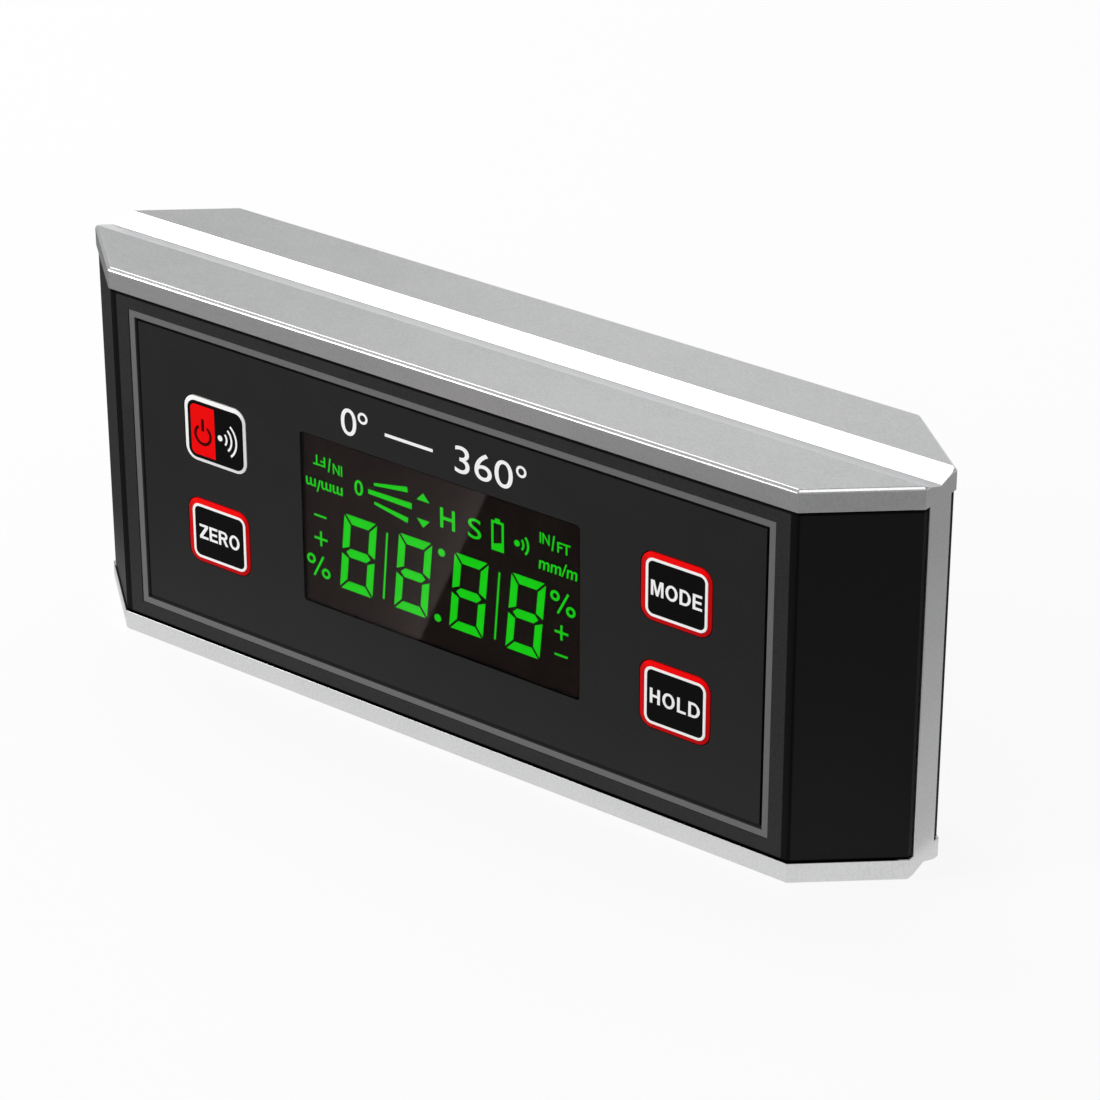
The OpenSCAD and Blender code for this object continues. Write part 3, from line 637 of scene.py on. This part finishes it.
# Its straight bars: start, end and width, and the width at the end where a bar tapers.
LIT_BARS = (
    ((-10.62, 21.3), (-9.68, 32.4), DIVIDER),
    ((10.05, 21.3), (10.98, 32.4), DIVIDER),
    ((-12.0, 39.55), (-5.75, 40.55), 0.42, 0.85),
    ((-13.1, 38.1), (-5.0, 38.1), 0.72, 0.95),
    ((-12.0, 36.55), (-5.75, 35.6), 0.42, 0.85),
    ((9.75, 35.75), (9.75, 40.4), BATTERY_LINE),
    ((11.6, 35.75), (11.6, 40.4), BATTERY_LINE),
    ((9.56, 40.25), (11.79, 40.25), BATTERY_LINE),
    ((9.56, 35.9), (11.79, 35.9), BATTERY_LINE),
    ((20.4, 38.75), (20.75, 41.2), SLASH),
    ((20.85, 26.25), (23.25, 26.25), PLUS),
    ((22.05, 25.05), (22.05, 27.45), PLUS),
    ((20.85, 22.55), (23.15, 22.55), MINUS),
    ((-20.6, 38.95), (-20.25, 41.25), SLASH),
    ((-23.6, 31.25), (-21.25, 31.25), MINUS),
    ((-23.65, 27.5), (-21.15, 27.5), PLUS),
    ((-22.4, 26.3), (-22.4, 28.75), PLUS),
)
# Its small filled shapes: two arrow heads, then the nub and the charge of the battery sign.
LIT_SHAPES = (
    ((-2.88, 40.8), (-4.05, 39.55), (-1.7, 39.55)),
    ((-4.05, 36.55), (-1.75, 36.55), (-2.9, 35.3)),
    ((10.25, 40.4), (11.1, 40.4), (11.1, 40.85), (10.25, 40.85)),
    ((9.8, 36.0), (11.55, 36.0), (11.55, 37.2), (9.8, 36.7)),
)
# Its letters and units: left edge, base line, height and width, then how they are drawn.
LIT_WORDS = (
    ("0", -15.7, 36.85, 2.5, 1.6, {"weight": 0.012}),
    ("H", 0.25, 36.4, 3.2, 2.7, {"weight": 0.012}),
    ("S", 5.35, 36.4, 3.2, 2.35, {}),
    ("IN", 18.2, 39.4, 1.7, 1.75, {"weight": 0.01}),
    ("FT", 21.3, 38.85, 1.65, 2.3, {"weight": 0.01}),
    ("mm/m", 18.0, 35.25, 2.1, 6.75, {"weight": 0.012, "lean": 0.1}),
    ("IN", -19.75, 38.95, 1.7, 1.75, {"weight": 0.01, "turned": True}),
    ("FT", -23.5, 39.5, 1.65, 2.3, {"weight": 0.01, "turned": True}),
    ("mm/m", -25.0, 35.15, 2.0, 7.0, {"weight": 0.012, "turned": True}),
)
# The middle of its sound sign, its dots with their radii, that sign's waves, and the middles of its two
# percent marks.
LIT_SOUND = (14.15, 38.05)
LIT_DOTS = (((0.42, 32.3), 0.62), ((-0.46, 21.4), 0.62), (LIT_SOUND, 0.5))
SOUND_WAVES, WAVE_START, WAVE_TURN = (1.15, 2.0), -42, 84
PER_CENTS = ((22.3, 30.95), (-23.0, 22.85))


def per_cent(bm, x, z):
    """The slash and two rings of a percent mark, about its middle."""
    stroke(bm, LIT_MARK, (x - 0.9, z - 1.75), (x + 0.95, z + 1.75), 0.36)
    for side in (-1, 1):
        sweep(bm, LIT_MARK, (x + side * 1.4, z - side * 0.9), radius=0.62, width=0.42)


def display_marks():
    """Everything that lights up on the display, as thin bars in front of its glass."""
    bm = bmesh.new()
    for column in range(DIGITS):
        digit(bm, DIGIT_LEFT + DIGIT_STEP * column)
    for bar in LIT_BARS:
        stroke(bm, LIT_MARK, *bar)
    for outline in LIT_SHAPES:
        plate(bm, LIT_MARK, outline)
    for *placed, drawn in LIT_WORDS:
        letters(bm, LIT_MARK, *placed, **drawn)
    for centre, radius in LIT_DOTS:
        disc(bm, LIT_MARK, centre, radius)
    for radius in SOUND_WAVES:
        sweep(bm, LIT_MARK, LIT_SOUND, radius, WAVE, WAVE_START, WAVE_TURN)
    for x, z in PER_CENTS:
        per_cent(bm, x, z)
    piece("display_marks", bm, green, "case")


display_marks()

# Height of the keys' capitals, and the widths of their upright and level strokes.
CAP, STEM, BAR = 2.38, 0.46, 0.4


def arc(centre, across, up, start, end, steps):
    """Points along part of an ellipse, angles in degrees."""
    turns = [math.radians(start + (end - start) * i / steps) for i in range(steps + 1)]
    return [(centre[0] + across * math.cos(a), centre[1] + up * math.sin(a)) for a in turns]


def oval(centre, across, up):
    """Points all round an ellipse."""
    return arc(centre, across, up, 0, 350, 35)


def bowl(left, low, wide, high, round_from):
    """Outline with a straight left side and a rounded right side."""
    middle = (low + high) / 2
    curve = arc((left + round_from, middle), wide - round_from, (high - low) / 2, -90, 90, 16)
    return [(left, low)] + curve + [(left, high)]


def capital(letter, w):
    """A bold capital of a given width: its solid outlines, and its pairs of outer and inner outline."""
    h, t, b = CAP, STEM, BAR
    mid = h / 2
    under, over = mid - b / 2, mid + b / 2
    if letter == "E":
        arm = 0.94 * w
        return [[(0, 0), (w, 0), (w, b), (t, b), (t, under), (arm, under), (arm, over), (t, over),
                 (t, h - b), (w, h - b), (w, h), (0, h)]], []
    if letter == "H":
        return [[(0, 0), (t, 0), (t, under), (w - t, under), (w - t, 0), (w, 0), (w, h), (w - t, h),
                 (w - t, over), (t, over), (t, h), (0, h)]], []
    if letter == "L":
        return [[(0, 0), (w, 0), (w, b), (t, b), (t, h), (0, h)]], []
    if letter == "M":
        stem, shoulder, foot = 0.9 * t, 1.35 * t, 0.19
        armpit, vee = 0.74 * h, 0.3 * h
        return [[(0, 0), (stem, 0), (stem, armpit), (w / 2 - foot, 0), (w / 2 + foot, 0), (w - stem, armpit),
                 (w - stem, 0), (w, 0), (w, h), (w - shoulder, h), (w / 2, vee), (shoulder, h), (0, h)]], []
    if letter == "Z":
        slant = 0.62
        return [[(0, 0), (w, 0), (w, b), (slant, b), (w, h - b), (w, h), (0, h), (0, h - b),
                 (w - slant, h - b), (0, b)]], []
    if letter == "O":
        centre, tall = (w / 2, mid), mid + 0.03
        return [], [(oval(centre, w / 2, tall), oval(centre, w / 2 - t, tall - b))]
    if letter == "D":
        curve = 0.42 * w
        return [], [(bowl(0, 0, w, h, curve), bowl(t, b, w - 2 * t, h - b, curve - t + 0.1))]
    if letter == "R":
        low, wide, curve, knee = 0.42 * h, 0.94 * w, 0.55 * w, 0.72 * w
        stem = [(0, 0), (t, 0), (t, low), (0, low)]
        leg = [(w - 1.15 * t, 0), (w, 0), (knee, low), (knee - 1.1 * t, low)]
        return [stem, leg], [(bowl(0, low, wide, h, curve), bowl(t, low + b, wide - 2 * t, h - b, curve - t))]


def key_legend(key, widths, gap):
    """The word printed on a key's pad, from its letters' widths."""
    x, z = KEYS[key]
    left = x + PRINT_RIGHT - (sum(widths.values()) + gap * (len(widths) - 1)) / 2
    base = z - PRINT_DOWN - CAP / 2
    bm = bmesh.new()
    for letter, wide in widths.items():
        solids, pairs = capital(letter, wide)
        for outline in solids:
            plate(bm, KEY_PRINT, [(left + x, base + z) for x, z in outline])
        for pair in pairs:
            open_plate(bm, KEY_PRINT, *[[(left + x, base + z) for x, z in loop] for loop in pair])
        left += wide + gap
    piece("legend_" + key, bm, ink_white, "key_" + key)


key_legend("zero", {"Z": 1.72, "E": 1.62, "R": 1.86, "O": 2.04}, 0.24)
key_legend("mode", {"M": 2.14, "O": 2.06, "D": 1.88, "E": 1.58}, 0.33)
key_legend("hold", {"H": 1.75, "O": 2.1, "L": 1.5, "D": 1.95}, 0.42)


def power_signs():
    """The on sign on the red half and the sound sign on the black half of the power key."""
    x, z = KEYS["power"]
    on_x, on_ring_z = x - 2.35, z - 0.72
    bm = bmesh.new()
    sweep(bm, KEY_PRINT, (on_x, on_ring_z), radius=1.5, width=0.5, start=122, turn=296)
    stroke(bm, KEY_PRINT, (on_x, z - 0.1), (on_x, z + 1.9), 0.56)
    piece("sign_on", bm, ink_dark_red, "key_power")
    sound = (x + 1.07, z - 0.25)
    bm = bmesh.new()
    disc(bm, KEY_PRINT, sound, 0.47)
    for radius, half in ((1.3, 42), (2.25, 48), (3.2, 50)):
        sweep(bm, KEY_PRINT, sound, radius, 0.34, -half, 2 * half)
    piece("sign_sound", bm, ink_white, "key_power")


power_signs()


def range_numbers():
    """Plain white numbers above the display: the range that the gauge reads."""
    base, tall, dash_z, degree_z = 46.3, 4.3, 48.4, 49.75
    bm = bmesh.new()
    letters(bm, PLATE_PRINT, "0", -17.6, base, tall, 2.9)
    letters(bm, PLATE_PRINT, "360", 3.4, base, tall, 10.4)
    for degree_x in (-13.5, 15.3):
        sweep(bm, PLATE_PRINT, (degree_x, degree_z), radius=0.72, width=0.4)
    stroke(bm, PLATE_PRINT, (-9.4, dash_z), (-0.6, dash_z), 0.5)
    piece("range_numbers", bm, ink_white, "case")


range_numbers()


def floor_paper():
    """White paper that keeps the object's shadow; the camera, gloss and glass see it close to plain white."""
    f = Finish("floor_paper", Roughness=0.9, Specular_IOR_Level=0.0)
    rays = f.add("ShaderNodeLightPath", {}, {})
    camera_ray, glossy_ray, transmission_ray = 0, 3, 6
    by_camera, by_gloss, through_glass = rays[camera_ray], rays[glossy_ray], rays[transmission_ray]
    f.feed("Base Color", f.blend(by_camera, grey(0.62), grey(0.95)))
    seen = by_camera.most(by_gloss).most(through_glass)
    glow = f.add("ShaderNodeEmission", {}, {"Color": grey(1.0)})[0]
    lit = Value(f, f.shader.outputs[0])
    f.surface(f.add("ShaderNodeMixShader", {}, {0: seen * 0.88, 1: lit, 2: glow})[0])
    return f.material


def card(name, level, tint=(1.0, 1.0, 1.0, 1.0)):
    """A card that glows by a level worked out from its X and Y in millimetres."""
    f = Finish(name, Base_Color=grey(0.0), Roughness=0.9, Specular_IOR_Level=0.0, Emission_Strength=1.0)
    spot, (x, y, _) = f.place()
    shade = level(x / MM, y / MM) * (0.97 + 0.06 * f.grain(spot, 40.0))
    f.feed("Emission Color", f.blend(shade, grey(0.0), tint))
    return f.material


def front_grey(x, y):
    """Grey in front of the object, a little darker to both sides; darker still behind its left end."""
    level, fall, middle = 0.345, 0.0003, 10.0
    darkest, gain, left_end, beside = 0.19, 0.5, (-100.0, -79.0), (-45.0, -35.0)
    ahead = level - fall * abs(x - middle)
    behind = darkest + gain * x.rise(*left_end)
    return ahead + (behind - ahead) * y.rise(*beside)


def window_glare(x, y):
    """Bright along one slanted edge and fading to the left of it, dark to the right."""
    dark, faint, bright, fade_length = 0.06, 0.14, 1.1, 6.0
    slant, edge_at = 0.5, 4.25
    left_of_edge = y * slant - x - edge_at
    fade = faint + bright / (1.0 + left_of_edge.most(0.0) / fade_length)
    return dark + (fade - dark) * left_of_edge.rise(-0.2, 0.2)


def post_fade(x, y):
    """Paler close to the end post."""
    level, gain, post_end, far_end = 0.352, 0.262, 74.0, 140.0
    return level + gain * (1.0 - x.rise(post_end, far_end))


def stage_sheet(name, outline, material):
    """A flat stage sheet through a few corners, in millimetres."""
    bm = bmesh.new()
    bm.faces.new([bm.verts.new(Vector(corner) * MM) for corner in outline])
    shown = closed(name, bm, material)
    return shown


def lamp(name, at, size, watts):
    """A soft rectangular lamp that faces the object, its first side along X; place and size in metres."""
    data = bpy.data.lights.new(name, "AREA")
    data.shape = "RECTANGLE"
    data.size, data.size_y = size
    data.energy = watts
    shown = bpy.data.objects.new(name, data)
    bpy.context.scene.collection.objects.link(shown)
    object_middle = Vector((0, 0, 0.03))
    away = (Vector(at) - object_middle).normalized()
    along = (Vector((1, 0, 0)) - away * away.x).normalized()
    pose = Matrix((along, away.cross(along), away)).transposed().to_4x4()
    pose.translation = at
    shown.matrix_world = pose


# Sizes of the floor and the backdrop, the cards' height above the floor and their outlines, in millimetres,
# then a card's tint, and the colour and level of the sky.
FAR, BACKDROP_Y, BACKDROP_TOP, CARD_Z = 4000, 1600, 620, 0.4
FRONT_CARD = ((66, -36), (420, -36), (420, -420), (-420, -420), (-420, 260), (-76, 260), (-76, -3.5),
              (-65, -13.2), (-79, -36), (-98, -36), (-98, -92), (30, -92), (30, -36))
WINDOW_CARD = ((30, -36), (30, -92), (-98, -92), (-98, -36))
SIDE_CARD = ((92, -35), (420, -35), (420, 300), (90, 300), (78, 3))
ROSY_WHITE, SKY_WHITE, SKY_LEVEL = (1.0, 0.86, 0.86, 1.0), (0.99, 0.995, 1.0, 1), 0.44


def studio():
    """Pale floor and backdrop, soft lamps, and grey cards beside the object that only gloss and glass see."""
    paper = floor_paper()
    stage_sheet("floor", [(-FAR, -FAR, 0), (FAR, -FAR, 0), (FAR, FAR, 0), (-FAR, FAR, 0)], paper)
    stage_sheet("backdrop", [(-FAR, BACKDROP_Y, 0), (FAR, BACKDROP_Y, 0), (FAR, BACKDROP_Y, BACKDROP_TOP),
                             (-FAR, BACKDROP_Y, BACKDROP_TOP)], paper)
    for finish, outline in ((card("front_card", front_grey), FRONT_CARD),
                            (card("window_card", window_glare, ROSY_WHITE), WINDOW_CARD),
                            (card("side_card", post_fade), SIDE_CARD)):
        sheet = stage_sheet(finish.name, [(x, y, CARD_Z) for x, y in outline], finish)
        sheet.visible_camera = False
        sheet.visible_diffuse = False
        sheet.visible_shadow = False

    world = bpy.data.worlds.new("studio")
    bpy.context.scene.world = world
    world.use_nodes = True
    sky = world.node_tree.nodes["Background"].inputs
    sky["Color"].default_value = SKY_WHITE
    sky["Strength"].default_value = SKY_LEVEL

    lamp("front_left", at=(-1.0, -0.9, 0.42), size=(0.7, 0.7), watts=14.5)
    lamp("groove_strip", at=(-0.50, 0.235, 0.75), size=(0.5, 0.36), watts=2.3)
    lamp("back_soft", at=(-0.38, 1.15, 0.95), size=(1.2, 0.9), watts=1.0)
    lamp("edge_strip", at=(0.45, -0.26, 0.92), size=(0.3, 0.12), watts=0.5)


# The view: focal length and image width in pixels, turn and lift in degrees, place in metres.
FOCAL, IMAGE_WIDTH = 4013.925, 1100.0
VIEW_TURN, VIEW_LIFT = 37.338, 27.032
VIEW_PLACE = (0.324462, -0.413056, 0.294907)
SENSOR = 36.0


def photo_camera():
    """The camera at the photograph's angle: turned to the right of the front and lifted."""
    view = bpy.data.cameras.new("photo_view")
    view.sensor_width = SENSOR
    view.lens = FOCAL * SENSOR / IMAGE_WIDTH
    view.clip_start = 0.01
    camera = bpy.data.objects.new("photo_view", view)
    bpy.context.scene.collection.objects.link(camera)
    turn, lift = math.radians(VIEW_TURN), math.radians(VIEW_LIFT)
    back = Vector((math.sin(turn) * math.cos(lift), -math.cos(turn) * math.cos(lift), math.sin(lift)))
    right = Vector((math.cos(turn), math.sin(turn), 0))
    pose = Matrix((right, back.cross(right), back)).transposed().to_4x4()
    pose.translation = VIEW_PLACE
    camera.matrix_world = pose
    bpy.context.scene.camera = camera


photo_camera()
bpy.context.scene.view_settings.view_transform = "Standard"
studio()
